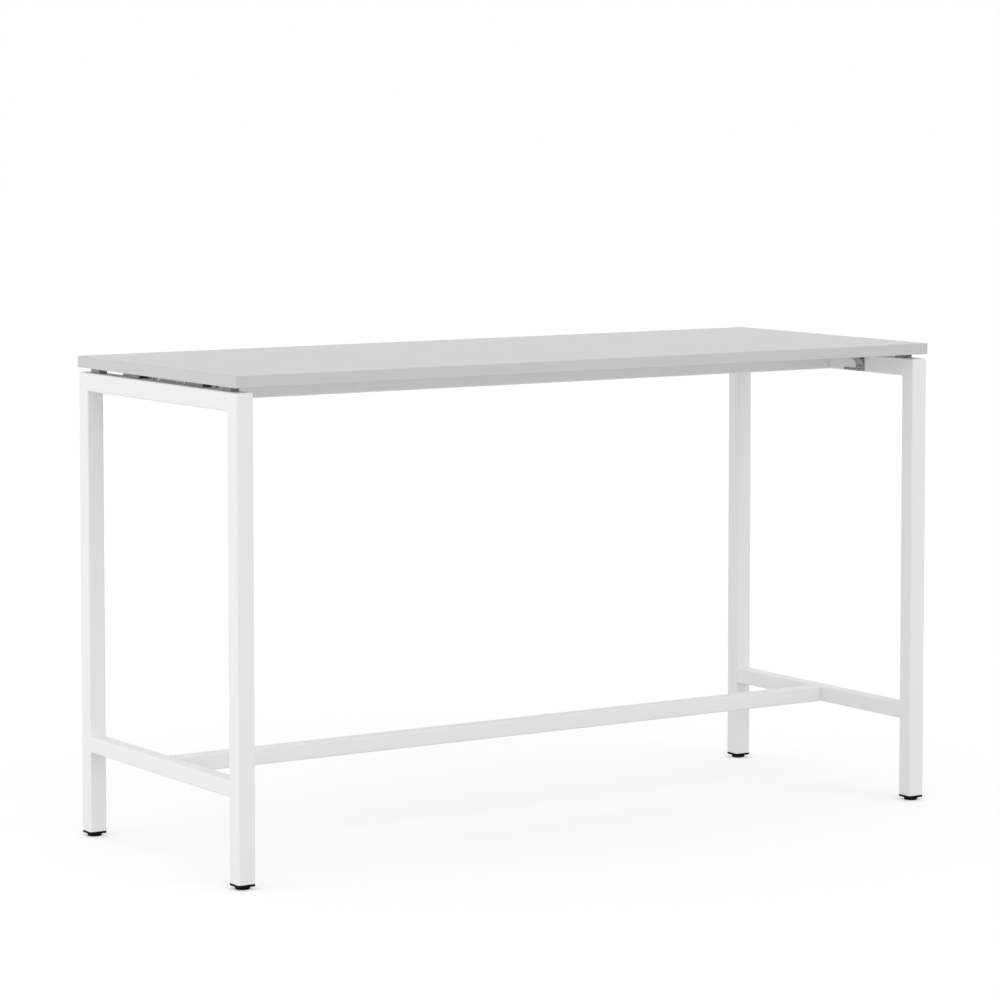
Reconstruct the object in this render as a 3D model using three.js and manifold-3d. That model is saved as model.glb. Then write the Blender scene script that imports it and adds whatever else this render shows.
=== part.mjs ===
// Standing-height meeting table: a laminated top on two white end frames of square tube, joined by a
// beam under the top and a stretcher near the floor, on four screw-in levelling feet.
//
// Millimetres. The origin is on the floor under the middle of the top: +X runs along the table's
// length, -Y is its front and +Z is up.

import * as THREE from 'three';
import { mergeVertices } from 'three/addons/utils/BufferGeometryUtils.js';
import Module from 'manifold-3d';

const wasm = await Module();
wasm.setup();

// Overall size
const TABLE_LENGTH = 1800;
const TABLE_DEPTH = 700;
const TABLE_HEIGHT = 1050;

// Top: a board with a thin band glued to each of its four edges
const TOP_THICKNESS = 25;
const EDGE_BAND = 2;
const EDGE_RADIUS = 1.5;
const TOP_GAP = 10;

// End frames: legs and top rails of one square tube, crossbars and stretcher of a smaller one
const FRAME_INSET = 1.5;
const FRAME_TUBE = 40;
const FRAME_RADIUS = 4;
const FRAME_WALL = 2;
const BAR_TUBE = 35;
const BAR_RADIUS = 3.5;
const BAR_WALL = 2;
const BAR_HEIGHT_FROM_FLOOR = 186;

// Beam between the top rails, as high as the rails, with a T-shaped plate welded to each end and bolted
// to the rail from inside the beam, through holes in the beam's underside
const BEAM_WIDTH = 90;
const BEAM_RADIUS = 3;
const BEAM_WALL = 2;
const BEAM_ACCESS_HOLE = 18;
const BEAM_ACCESS_FROM_END = 14;
const END_PLATE = 5;
const END_PLATE_WIDTH = 108;
const END_PLATE_WING = 16;
const BEAM_BOLT_SPACING = 52;
const BEAM_BOLT_DIAMETER = 6;
const BEAM_BOLT_LENGTH = 16;
const BOLT_HEAD_FLATS = 10;
const BOLT_HEAD_HEIGHT = 4;
const NUT_PLATE = 4;
const NUT_PLATE_LENGTH = 78;
const NUT_PLATE_HEIGHT = 24;

// Corner spacers between the rails and the top, each with a screw from inside the rail
const SPACER_WIDTH = 20;
const SPACER_LENGTH = 38;
const SPACER_SCREW_DIAMETER = 5;
const SPACER_SCREW_BITE = 16;
const SPACER_SCREW_HEAD = 9.5;
const SPACER_SCREW_HEAD_HEIGHT = 3;
const ACCESS_HOLE = 13;

// Inner brackets: a cap under the top, a lip on the rail, and a web, a rib and a joggled strap behind
// the rail, with a screw up into the top and one into the rail
const BRACKET_SPACING = 276;
const BRACKET_LENGTH = 72;
const BRACKET_LAP = 23;
const BRACKET_OVERHANG = 30;
const BRACKET_SHEET = 3.5;
const BRACKET_WEB_DROP = 9;
const RIB_OVERHANG = 10;
const STRAP_OVERHANG = 24;
const STRAP_LENGTH = 28;
const STRAP_FOOT_HEIGHT = 14;
const STRAP_BEND = 9;
const STRAP_SHOULDER_DROP = 12;
const FOOT_LIP_HEIGHT = 5;
const FOOT_LIP_ABOVE_EDGE = 2;
const SLOT_LENGTH = 10;
const BOSS_DIAMETER = 14;
const BOSS_HEIGHT = 3;
const TOP_SCREW_DIAMETER = 8;
const TOP_SCREW_BITE = 12;
const TOP_SCREW_HEAD = 13;
const TOP_SCREW_HEAD_HEIGHT = 8;
const TOP_SCREW_FROM_RAIL = 23;
const TOP_SCREW_FROM_END = 10;
const RAIL_SCREW_DIAMETER = 4;
const RAIL_SCREW_REACH = 8;
const RAIL_SCREW_HEAD = 8;
const RAIL_SCREW_HEAD_HEIGHT = 2.6;

// Stretcher joint: a stub of square tube on each crossbar, held by a screw from below
const STUB_LENGTH = 45;
const STUB_WALL = 3;
const STUB_RADIUS = 1;
const STRETCHER_SCREW_DIAMETER = 6;
const STRETCHER_SCREW_REACH = 12;
const STRETCHER_SCREW_HEAD = 10.5;
const STRETCHER_SCREW_HEAD_HEIGHT = 3;
const STRETCHER_SCREW_FROM_END = 22;

// Levelling feet: a square insert in the leg, a threaded stem and a round pad
const INSERT_FLANGE = 5;
const INSERT_PLUG = 25;
const PAD_DIAMETER = 31;
const PAD_HEIGHT = 6.2;
const PAD_ROUNDING = 1;
const PAD_FLOOR = 2;
const STEM_DIAMETER = 10;
const STEM_LENGTH = 45;
const COLLAR_FLATS = 13;
const COLLAR_HEIGHT = 3.5;

// Clearances: faces that meet, mitres that are welded, and pieces that fit inside others
const SEAT_GAP = 0.1;
const WELD_GAP = 0.3;
const FIT_GAP = 0.3;

// Fineness of round shapes
const ROUND_SIDES = 12;
const PAD_SIDES = 32;
const CORNER_STEPS = 2;
const EDGE_STEPS = 3;
const CUT_PAST = 5;

// Heights that follow from the sizes above
const TOP_UNDERSIDE = TABLE_HEIGHT - TOP_THICKNESS;
const RAIL_TOP = TOP_UNDERSIDE - TOP_GAP;
const RAIL_BOTTOM = RAIL_TOP - FRAME_TUBE;
const RAIL_MIDDLE = RAIL_TOP - FRAME_TUBE / 2;
const FLANGE_BOTTOM = PAD_HEIGHT + SEAT_GAP;
const LEG_BOTTOM = FLANGE_BOTTOM + INSERT_FLANGE + SEAT_GAP;
const BAR_MIDDLE = BAR_HEIGHT_FROM_FLOOR + BAR_TUBE / 2;

// Places in an end frame, whose own axes have x = 0 on the legs' axes and +x towards the table's middle
const FRAME_X = TABLE_LENGTH / 2 - FRAME_INSET - FRAME_TUBE / 2;
const LEG_Y = TABLE_DEPTH / 2 - FRAME_INSET - FRAME_TUBE / 2;
const LEG_INNER_Y = LEG_Y - FRAME_TUBE / 2;
const RAIL_FACE = FRAME_TUBE / 2;
const BAR_FACE = BAR_TUBE / 2;
const SPACER_Y = LEG_INNER_Y - SPACER_LENGTH / 2;
const CAP_TOP = TOP_UNDERSIDE - SEAT_GAP;
const CAP_BOTTOM = CAP_TOP - BRACKET_SHEET;
const BOSS_BOTTOM = CAP_BOTTOM - BOSS_HEIGHT;
const STRAP_FOOT = RAIL_BOTTOM + FOOT_LIP_ABOVE_EDGE;
const TOP_SCREW_X = RAIL_FACE + TOP_SCREW_FROM_RAIL;
const TOP_SCREW_OFFSET = TOP_SCREW_FROM_END - BRACKET_LENGTH / 2;
const RAIL_SCREW_OFFSET = (BRACKET_LENGTH - STRAP_LENGTH) / 2;
const SLOT_WIDTH = RAIL_SCREW_DIAMETER + 2 * FIT_GAP;
const SLOT_MIDDLE = STRAP_FOOT + STRAP_FOOT_HEIGHT / 2;
const RAIL_SCREW_Z = SLOT_MIDDLE + (SLOT_LENGTH - SLOT_WIDTH) / 2;
const STRETCHER_SCREW_X = BAR_FACE + SEAT_GAP + STRETCHER_SCREW_FROM_END;

// Finishes
const FINISH = {
  laminate: { color: 0xd4d4d4, roughness: 0.55, metalness: 0 },
  band: { color: 0xcfcfcf, roughness: 0.5, metalness: 0 },
  whiteCoat: { color: 0xefefef, roughness: 0.45, metalness: 0 },
  castGrey: { color: 0x85878a, roughness: 0.45, metalness: 0.8 },
  greyPlastic: { color: 0x7c7e81, roughness: 0.6, metalness: 0 },
  zinc: { color: 0xb9bcc0, roughness: 0.35, metalness: 1 },
  blackPlastic: { color: 0x161616, roughness: 0.55, metalness: 0 },
};

// Closed solid with merged corners, ready to be joined or cut.
function solidOf(geometry) {
  const bare = geometry.clone();
  bare.deleteAttribute('normal');
  bare.deleteAttribute('uv');
  const merged = mergeVertices(bare);
  return new wasm.Manifold(
    new wasm.Mesh({
      numProp: 3,
      vertProperties: new Float32Array(merged.attributes.position.array),
      triVerts: new Uint32Array(merged.index.array),
    }),
  );
}

// Geometry with flat faces from a solid.
function geometryOf(solid) {
  const mesh = solid.getMesh();
  const geometry = new THREE.BufferGeometry();
  geometry.setAttribute('position', new THREE.BufferAttribute(new Float32Array(mesh.vertProperties), 3));
  geometry.setIndex(new THREE.BufferAttribute(new Uint32Array(mesh.triVerts), 1));
  const flat = geometry.toNonIndexed();
  flat.computeVertexNormals();
  return flat;
}

function join(...geometries) {
  return geometryOf(geometries.map(solidOf).reduce((whole, piece) => whole.add(piece)));
}

function cut(geometry, ...tools) {
  return geometryOf(tools.map(solidOf).reduce((left, tool) => left.subtract(tool), solidOf(geometry)));
}

function keep(geometry, mould) {
  return geometryOf(solidOf(geometry).intersect(solidOf(mould)));
}

// Block between two opposite corners, given in any order.
function block(a, b) {
  const size = a.map((value, i) => Math.abs(b[i] - value));
  const middle = a.map((value, i) => (value + b[i]) / 2);
  return new THREE.BoxGeometry(...size).translate(...middle);
}

// Round bar, or a prism with few sides, that runs along +Z from z = 0.
function rod(diameter, length, sides = ROUND_SIDES) {
  const geometry = new THREE.CylinderGeometry(diameter / 2, diameter / 2, length, sides);
  return geometry.rotateX(Math.PI / 2).translate(0, 0, length / 2);
}

// Hexagon prism along +Z from z = 0, by its width across flats.
function hexagon(flats, height) {
  return rod(flats / Math.cos(Math.PI / 6), height, 6);
}

// Outline of a rectangle with round corners, centred on the origin.
function roundedOutline(path, width, height, radius) {
  const x = width / 2 - radius;
  const y = height / 2 - radius;
  path.absarc(x, y, radius, 0, Math.PI / 2);
  path.absarc(-x, y, radius, Math.PI / 2, Math.PI);
  path.absarc(-x, -y, radius, Math.PI, (3 * Math.PI) / 2);
  path.absarc(x, -y, radius, (3 * Math.PI) / 2, 2 * Math.PI);
  path.closePath();
  return path;
}

function roundedShape(width, height, radius) {
  return roundedOutline(new THREE.Shape(), width, height, radius);
}

// Section of a tube: a rounded outline with a smaller one inside it.
function tubeShape(width, height, radius, wall) {
  const shape = roundedShape(width, height, radius);
  const innerRadius = Math.max(radius - wall, wall / 2);
  shape.holes.push(roundedOutline(new THREE.Path(), width - 2 * wall, height - 2 * wall, innerRadius));
  return shape;
}

// Prism of an outline along +Z between two heights.
function extrudeUp(shape, z0, z1) {
  const options = { depth: z1 - z0, bevelEnabled: false, curveSegments: CORNER_STEPS };
  return new THREE.ExtrudeGeometry(shape, options).translate(0, 0, z0);
}

// The same along X, for an outline drawn in y and z.
function extrudeAlongX(shape, x0, x1) {
  const turn = new THREE.Matrix4().makeBasis(
    new THREE.Vector3(0, 1, 0),
    new THREE.Vector3(0, 0, 1),
    new THREE.Vector3(1, 0, 0),
  );
  return extrudeUp(shape, x0, x1).applyMatrix4(turn);
}

// The same along Y, for an outline drawn in x and z.
function extrudeAlongY(shape, y0, y1) {
  return extrudeUp(shape, -y1, -y0).rotateX(Math.PI / 2);
}

function outline(points) {
  return new THREE.Shape(points.map(([x, y]) => new THREE.Vector2(x, y)));
}

// Screw or bolt along +Z: the head lies below z = 0, its seat, and the shank stands above it.
function screw(diameter, length, headHeight, head) {
  return join(head.translate(0, 0, -headHeight), rod(diameter, length));
}

function panScrew(diameter, length, headDiameter, headHeight) {
  return screw(diameter, length, headHeight, rod(headDiameter, headHeight));
}

function part(name, finish, geometry) {
  const mesh = new THREE.Mesh(geometry, new THREE.MeshStandardMaterial(FINISH[finish]));
  mesh.name = name;
  return mesh;
}

function placed(mesh, x, y, z) {
  mesh.position.set(x, y, z);
  return mesh;
}

// Turns a screw from +Z to -X, so that it runs into the rail and its head faces the table's middle.
function facingOutwards(mesh) {
  mesh.rotation.y = -Math.PI / 2;
  return mesh;
}

// Top

function slab(length, depth, thickness, radius) {
  const shape = outline([
    [-length / 2, -depth / 2],
    [length / 2, -depth / 2],
    [length / 2, depth / 2],
    [-length / 2, depth / 2],
  ]);
  const options = {
    depth: thickness - 2 * radius,
    bevelEnabled: true,
    bevelThickness: radius,
    bevelSize: radius,
    bevelOffset: -radius,
    bevelSegments: EDGE_STEPS,
  };
  return new THREE.ExtrudeGeometry(shape, options).translate(0, 0, radius);
}

// Blind holes in the board's underside for the spacer screws and the bracket screws. The right end is
// the left end turned half round.
function topHoles() {
  const start = TOP_UNDERSIDE - CUT_PAST;
  const holes = [];
  for (const end of [-1, 1]) {
    for (const side of [-1, 1]) {
      const spacerDepth = SPACER_SCREW_BITE + FIT_GAP;
      const spacerHole = rod(SPACER_SCREW_DIAMETER + 2 * FIT_GAP, CUT_PAST + spacerDepth);
      const bracketDepth = TOP_SCREW_BITE + FIT_GAP;
      const bracketHole = rod(TOP_SCREW_DIAMETER + 2 * FIT_GAP, CUT_PAST + bracketDepth);
      const bracketY = (side * BRACKET_SPACING) / 2 + TOP_SCREW_OFFSET;
      holes.push(spacerHole.translate(end * FRAME_X, side * SPACER_Y, start));
      holes.push(bracketHole.translate(end * (FRAME_X - TOP_SCREW_X), -end * bracketY, start));
    }
  }
  return holes;
}

function tableTop() {
  const group = new THREE.Group();
  const x = TABLE_LENGTH / 2;
  const y = TABLE_DEPTH / 2;
  const boardX = x - EDGE_BAND - SEAT_GAP;
  const boardY = y - EDGE_BAND - SEAT_GAP;
  const below = TOP_UNDERSIDE - CUT_PAST;
  const above = TABLE_HEIGHT + CUT_PAST;
  const board = block([-boardX, -boardY, TOP_UNDERSIDE], [boardX, boardY, TABLE_HEIGHT]);
  const whole = slab(TABLE_LENGTH, TABLE_DEPTH, TOP_THICKNESS, EDGE_RADIUS).translate(0, 0, TOP_UNDERSIDE);
  for (const [name, side] of [['front', -1], ['rear', 1]]) {
    const inner = [-x - CUT_PAST, side * (y - EDGE_BAND), below];
    const outer = [x + CUT_PAST, side * (y + CUT_PAST), above];
    group.add(part(`edge_band_${name}`, 'band', keep(whole, block(inner, outer))));
  }
  for (const [name, side] of [['left', -1], ['right', 1]]) {
    const inner = [side * (x - EDGE_BAND), -boardY, below];
    const outer = [side * (x + CUT_PAST), boardY, above];
    group.add(part(`edge_band_${name}`, 'band', keep(whole, block(inner, outer))));
  }
  group.add(part('top_panel', 'laminate', cut(board, ...topHoles())));
  return group;
}

// End frame

// Wedge that mitres a tube end: everything past a plane through the corner's two edges, in y and z.
function mitreWedge(upper) {
  const half = WELD_GAP / Math.SQRT2;
  const reach = FRAME_TUBE + CUT_PAST;
  const far = upper ? reach : -reach;
  const shift = upper ? -half : half;
  const shape = outline([
    [-reach, reach + shift],
    [reach, -reach + shift],
    [reach + far, -reach + far + shift],
    [-reach + far, reach + far + shift],
  ]);
  return extrudeAlongX(shape, -reach, reach);
}

// Leg on the z axis, mitred at the top so that its outer side, -y, is the long one.
function legGeometry() {
  const tube = extrudeUp(tubeShape(FRAME_TUBE, FRAME_TUBE, FRAME_RADIUS, FRAME_WALL), LEG_BOTTOM, RAIL_TOP);
  return cut(tube, mitreWedge(true).translate(0, 0, RAIL_MIDDLE));
}

// Rail along y, centred on its own axis, with both ends mitred and holes for the spacer screws,
// the beam's bolts and the brackets' screws.
function railGeometry() {
  const half = LEG_Y + FRAME_TUBE / 2;
  const tube = extrudeAlongY(tubeShape(FRAME_TUBE, FRAME_TUBE, FRAME_RADIUS, FRAME_WALL), -half, half);
  const frontEnd = mitreWedge(false).translate(0, -LEG_Y, 0);
  const rearEnd = mitreWedge(false).rotateZ(Math.PI).translate(0, LEG_Y, 0);
  const holes = [];
  for (const side of [-1, 1]) {
    holes.push(rod(SPACER_SCREW_DIAMETER + 2 * FIT_GAP, FRAME_TUBE).translate(0, side * SPACER_Y, 0));
    holes.push(rod(ACCESS_HOLE, FRAME_TUBE).translate(0, side * SPACER_Y, -FRAME_TUBE));
    const boltHole = rod(BEAM_BOLT_DIAMETER + 2 * FIT_GAP, FRAME_TUBE).rotateY(Math.PI / 2);
    holes.push(boltHole.translate(0, (side * BEAM_BOLT_SPACING) / 2, 0));
    const screwHole = rod(RAIL_SCREW_DIAMETER + 2 * FIT_GAP, FRAME_TUBE).rotateY(Math.PI / 2);
    const screwY = (side * BRACKET_SPACING) / 2 + RAIL_SCREW_OFFSET;
    holes.push(screwHole.translate(0, screwY, RAIL_SCREW_Z - RAIL_MIDDLE));
  }
  return cut(tube, frontEnd, rearEnd, ...holes);
}

function crossbarGeometry() {
  const half = LEG_INNER_Y - SEAT_GAP;
  return extrudeAlongY(tubeShape(BAR_TUBE, BAR_TUBE, BAR_RADIUS, BAR_WALL), -half, half);
}

// Spacer block with a hole for its screw, standing on z = 0.
function spacerGeometry() {
  const height = TOP_GAP - 2 * SEAT_GAP;
  const body = new THREE.BoxGeometry(SPACER_WIDTH, SPACER_LENGTH, height).translate(0, 0, height / 2);
  const hole = rod(SPACER_SCREW_DIAMETER + 2 * FIT_GAP, height + 2 * CUT_PAST);
  return cut(body, hole.translate(0, 0, -CUT_PAST));
}

function spacerScrewGeometry() {
  const length = FRAME_WALL + SEAT_GAP + TOP_GAP + SPACER_SCREW_BITE;
  return panScrew(SPACER_SCREW_DIAMETER, length, SPACER_SCREW_HEAD, SPACER_SCREW_HEAD_HEIGHT);
}

// Strap outline in x and z: up the rail's inner face, out under the cap and up to it.
function strapShape() {
  const near = RAIL_FACE + SEAT_GAP;
  const far = near + BRACKET_SHEET;
  const tip = RAIL_FACE + STRAP_OVERHANG;
  const bend = STRAP_FOOT + STRAP_FOOT_HEIGHT;
  const shoulder = CAP_BOTTOM - STRAP_SHOULDER_DROP;
  const shape = new THREE.Shape();
  shape.moveTo(near, STRAP_FOOT);
  shape.lineTo(far, STRAP_FOOT);
  shape.lineTo(far, bend);
  shape.quadraticCurveTo(far, bend + STRAP_BEND, tip, shoulder);
  shape.lineTo(tip, CAP_TOP);
  shape.lineTo(tip - BRACKET_SHEET, CAP_TOP);
  shape.lineTo(tip - BRACKET_SHEET, shoulder + BRACKET_SHEET);
  shape.quadraticCurveTo(near, bend + STRAP_BEND + BRACKET_SHEET, near, bend);
  shape.closePath();
  return shape;
}

// Bracket, centred on y = 0: the cap, lip, web and foot lip run its full length, the strap stands at
// its +y end, and the rib and the boss for the top screw at its -y end.
function bracketGeometry() {
  const end = BRACKET_LENGTH / 2;
  const lap = RAIL_FACE - BRACKET_LAP;
  const near = RAIL_FACE + SEAT_GAP;
  const far = near + BRACKET_SHEET;
  const cap = block([lap, -end, CAP_BOTTOM], [RAIL_FACE + BRACKET_OVERHANG, end, CAP_TOP]);
  const lip = block([lap, -end, RAIL_TOP + SEAT_GAP], [lap + BRACKET_SHEET, end, CAP_TOP]);
  const web = block([near, -end, RAIL_TOP - BRACKET_WEB_DROP], [far, end, CAP_TOP]);
  const footLip = block([near, -end, STRAP_FOOT], [far, end, STRAP_FOOT + FOOT_LIP_HEIGHT]);
  const ribEnd = [RAIL_FACE + RIB_OVERHANG, BRACKET_SHEET - end, CAP_TOP];
  const rib = block([near, -end, RAIL_TOP - BRACKET_WEB_DROP], ribEnd);
  const boss = rod(BOSS_DIAMETER, CAP_TOP - BOSS_BOTTOM);
  const strap = extrudeAlongY(strapShape(), end - STRAP_LENGTH, end);
  const topHole = rod(TOP_SCREW_DIAMETER + 2 * FIT_GAP, CAP_TOP - BOSS_BOTTOM + 2 * CUT_PAST);
  const slot = extrudeAlongX(roundedShape(SLOT_WIDTH, SLOT_LENGTH, SLOT_WIDTH / 2), -CUT_PAST, CUT_PAST);
  return cut(
    join(cap, lip, web, footLip, rib, boss.translate(TOP_SCREW_X, TOP_SCREW_OFFSET, BOSS_BOTTOM), strap),
    topHole.translate(TOP_SCREW_X, TOP_SCREW_OFFSET, BOSS_BOTTOM - CUT_PAST),
    slot.translate(near, RAIL_SCREW_OFFSET, SLOT_MIDDLE),
  );
}

function bracketTopScrewGeometry() {
  const length = TOP_UNDERSIDE - BOSS_BOTTOM + TOP_SCREW_BITE;
  return panScrew(TOP_SCREW_DIAMETER, length, TOP_SCREW_HEAD, TOP_SCREW_HEAD_HEIGHT);
}

function bracketRailScrewGeometry() {
  const length = BRACKET_SHEET + SEAT_GAP + RAIL_SCREW_REACH;
  return panScrew(RAIL_SCREW_DIAMETER, length, RAIL_SCREW_HEAD, RAIL_SCREW_HEAD_HEIGHT);
}

// T-shaped plate at the beam's end: as wide as the beam below, with wings under the top.
function endPlateGeometry() {
  const near = RAIL_FACE + SEAT_GAP;
  const far = near + END_PLATE;
  const half = BEAM_WIDTH / 2;
  const wing = END_PLATE_WIDTH / 2;
  const top = TOP_UNDERSIDE - SEAT_GAP;
  const stem = block([near, -half, RAIL_BOTTOM], [far, half, top]);
  const wings = block([near, -wing, TOP_UNDERSIDE - END_PLATE_WING], [far, wing, top]);
  return cut(join(stem, wings), ...boltHoles());
}

function boltHoles() {
  return [-1, 1].map((side) => {
    const hole = rod(BEAM_BOLT_DIAMETER + 2 * FIT_GAP, 2 * FRAME_TUBE).rotateY(Math.PI / 2);
    return hole.translate(-FRAME_TUBE / 2, (side * BEAM_BOLT_SPACING) / 2, RAIL_MIDDLE);
  });
}

function nutPlateGeometry() {
  const face = RAIL_FACE - FRAME_WALL - SEAT_GAP;
  const y = NUT_PLATE_LENGTH / 2;
  const z = NUT_PLATE_HEIGHT / 2;
  const plate = block([face - NUT_PLATE, -y, RAIL_MIDDLE - z], [face, y, RAIL_MIDDLE + z]);
  return cut(plate, ...boltHoles());
}

function beamBoltGeometry() {
  const head = hexagon(BOLT_HEAD_FLATS, BOLT_HEAD_HEIGHT);
  return screw(BEAM_BOLT_DIAMETER, BEAM_BOLT_LENGTH, BOLT_HEAD_HEIGHT, head);
}

// Stub of tube along x, centred on its own axis, with a hole in its lower wall.
function stubGeometry() {
  const size = BAR_TUBE - 2 * BAR_WALL - 2 * FIT_GAP;
  const start = BAR_FACE + SEAT_GAP;
  const tube = extrudeAlongX(tubeShape(size, size, STUB_RADIUS, STUB_WALL), start, start + STUB_LENGTH);
  return cut(tube, stretcherScrewHole().translate(STRETCHER_SCREW_X, 0, 0));
}

function stretcherScrewHole() {
  return rod(STRETCHER_SCREW_DIAMETER + 2 * FIT_GAP, BAR_TUBE).translate(0, 0, -BAR_TUBE);
}

function stretcherScrewGeometry() {
  const diameter = STRETCHER_SCREW_DIAMETER;
  return panScrew(diameter, STRETCHER_SCREW_REACH, STRETCHER_SCREW_HEAD, STRETCHER_SCREW_HEAD_HEIGHT);
}

// Foot

// Insert: a flange as wide as the leg, a plug inside the tube and a bore for the stem and its collar.
function insertGeometry() {
  const plugSize = FRAME_TUBE - 2 * FRAME_WALL - 2 * FIT_GAP;
  const flangeTop = FLANGE_BOTTOM + INSERT_FLANGE;
  const flange = extrudeUp(roundedShape(FRAME_TUBE, FRAME_TUBE, FRAME_RADIUS), FLANGE_BOTTOM, flangeTop);
  const plugTop = flangeTop + INSERT_PLUG;
  const plug = extrudeUp(roundedShape(plugSize, plugSize, FRAME_RADIUS), FLANGE_BOTTOM, plugTop);
  const bore = rod(STEM_DIAMETER + 2 * FIT_GAP, plugTop + CUT_PAST);
  const collarWidth = COLLAR_FLATS / Math.cos(Math.PI / 6);
  const recess = rod(collarWidth + 2 * FIT_GAP, COLLAR_HEIGHT + SEAT_GAP + FIT_GAP + CUT_PAST);
  return cut(join(flange, plug), bore, recess.translate(0, 0, FLANGE_BOTTOM - CUT_PAST));
}

// Stem: a rod that stands in the pad's socket, with a hexagon collar just above the pad.
function stemGeometry() {
  const collar = hexagon(COLLAR_FLATS, COLLAR_HEIGHT).translate(0, 0, PAD_HEIGHT + SEAT_GAP);
  return join(rod(STEM_DIAMETER, STEM_LENGTH).translate(0, 0, PAD_FLOOR + SEAT_GAP), collar);
}

// Pad: a round disc with softened edges and a blind socket for the stem.
function padGeometry() {
  const radius = PAD_DIAMETER / 2;
  const socket = STEM_DIAMETER / 2 + FIT_GAP;
  const profile = [
    [0, 0],
    [radius - PAD_ROUNDING, 0],
    [radius, PAD_ROUNDING],
    [radius, PAD_HEIGHT - PAD_ROUNDING],
    [radius - PAD_ROUNDING, PAD_HEIGHT],
    [socket, PAD_HEIGHT],
    [socket, PAD_FLOOR],
    [0, PAD_FLOOR],
  ].map(([x, y]) => new THREE.Vector2(x, y));
  return new THREE.LatheGeometry(profile, PAD_SIDES).rotateX(Math.PI / 2);
}

// One end frame with all that is fixed to it, in its own axes.
function endFrame(end, sideNames) {
  const group = new THREE.Group();
  group.add(placed(part(`top_rail_${end}`, 'whiteCoat', railGeometry()), 0, 0, RAIL_MIDDLE));
  group.add(placed(part(`crossbar_${end}`, 'whiteCoat', crossbarGeometry()), 0, 0, BAR_MIDDLE));
  group.add(part(`beam_end_plate_${end}`, 'whiteCoat', endPlateGeometry()));
  group.add(part(`beam_nut_plate_${end}`, 'zinc', nutPlateGeometry()));
  group.add(placed(part(`stretcher_stub_${end}`, 'whiteCoat', stubGeometry()), 0, 0, BAR_MIDDLE));
  const stretcherScrew = part(`stretcher_screw_${end}`, 'zinc', stretcherScrewGeometry());
  group.add(placed(stretcherScrew, STRETCHER_SCREW_X, 0, BAR_HEIGHT_FROM_FLOOR - SEAT_GAP));
  for (const side of [-1, 1]) {
    const at = `${sideNames[side]}_${end}`;
    const leg = part(`leg_${at}`, 'whiteCoat', legGeometry());
    leg.rotation.z = side > 0 ? Math.PI : 0;
    group.add(placed(leg, 0, side * LEG_Y, 0));
    group.add(placed(part(`foot_insert_${at}`, 'blackPlastic', insertGeometry()), 0, side * LEG_Y, 0));
    group.add(placed(part(`foot_stem_${at}`, 'zinc', stemGeometry()), 0, side * LEG_Y, 0));
    group.add(placed(part(`foot_pad_${at}`, 'blackPlastic', padGeometry()), 0, side * LEG_Y, 0));
    const spacer = part(`top_spacer_${at}`, 'greyPlastic', spacerGeometry());
    group.add(placed(spacer, 0, side * SPACER_Y, RAIL_TOP + SEAT_GAP));
    const spacerScrew = part(`spacer_screw_${at}`, 'zinc', spacerScrewGeometry());
    group.add(placed(spacerScrew, 0, side * SPACER_Y, RAIL_TOP - FRAME_WALL - SEAT_GAP));
    const bracketY = (side * BRACKET_SPACING) / 2;
    group.add(placed(part(`top_bracket_${at}`, 'castGrey', bracketGeometry()), 0, bracketY, 0));
    const topScrew = part(`bracket_top_screw_${at}`, 'zinc', bracketTopScrewGeometry());
    group.add(placed(topScrew, TOP_SCREW_X, bracketY + TOP_SCREW_OFFSET, BOSS_BOTTOM - SEAT_GAP));
    const railScrew = facingOutwards(part(`bracket_rail_screw_${at}`, 'zinc', bracketRailScrewGeometry()));
    const railScrewX = RAIL_FACE + BRACKET_SHEET + 2 * SEAT_GAP;
    group.add(placed(railScrew, railScrewX, bracketY + RAIL_SCREW_OFFSET, RAIL_SCREW_Z));
    const bolt = facingOutwards(part(`beam_bolt_${at}`, 'zinc', beamBoltGeometry()));
    const boltX = RAIL_FACE + END_PLATE + 2 * SEAT_GAP;
    group.add(placed(bolt, boltX, (side * BEAM_BOLT_SPACING) / 2, RAIL_MIDDLE));
  }
  return group;
}

// Beam and stretcher between the two end frames

// Beam along x, centred on its own axis, with a hole in its lower wall below each bolt's head.
function beamGeometry() {
  const half = FRAME_X - RAIL_FACE - END_PLATE - 2 * SEAT_GAP;
  const tube = extrudeAlongX(tubeShape(BEAM_WIDTH, FRAME_TUBE, BEAM_RADIUS, BEAM_WALL), -half, half);
  const holeX = half - BEAM_ACCESS_FROM_END;
  const holes = [];
  for (const end of [-1, 1]) {
    for (const side of [-1, 1]) {
      const hole = rod(BEAM_ACCESS_HOLE, FRAME_TUBE).translate(0, 0, -FRAME_TUBE);
      holes.push(hole.translate(end * holeX, (side * BEAM_BOLT_SPACING) / 2, 0));
    }
  }
  return cut(tube, ...holes);
}

function stretcherGeometry() {
  const half = FRAME_X - BAR_FACE - SEAT_GAP;
  const tube = extrudeAlongX(tubeShape(BAR_TUBE, BAR_TUBE, BAR_RADIUS, BAR_WALL), -half, half);
  const holeX = FRAME_X - STRETCHER_SCREW_X;
  return cut(tube, ...[-1, 1].map((side) => stretcherScrewHole().translate(side * holeX, 0, 0)));
}

const table = new THREE.Group();
table.add(tableTop());

const leftFrame = endFrame('left', { '-1': 'front', 1: 'rear' });
leftFrame.position.x = -FRAME_X;
table.add(leftFrame);

const rightFrame = endFrame('right', { '-1': 'rear', 1: 'front' });
rightFrame.rotation.z = Math.PI;
rightFrame.position.x = FRAME_X;
table.add(rightFrame);

table.add(placed(part('beam', 'whiteCoat', beamGeometry()), 0, 0, RAIL_MIDDLE));
table.add(placed(part('stretcher', 'whiteCoat', stretcherGeometry()), 0, 0, BAR_MIDDLE));

export default table;
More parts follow.
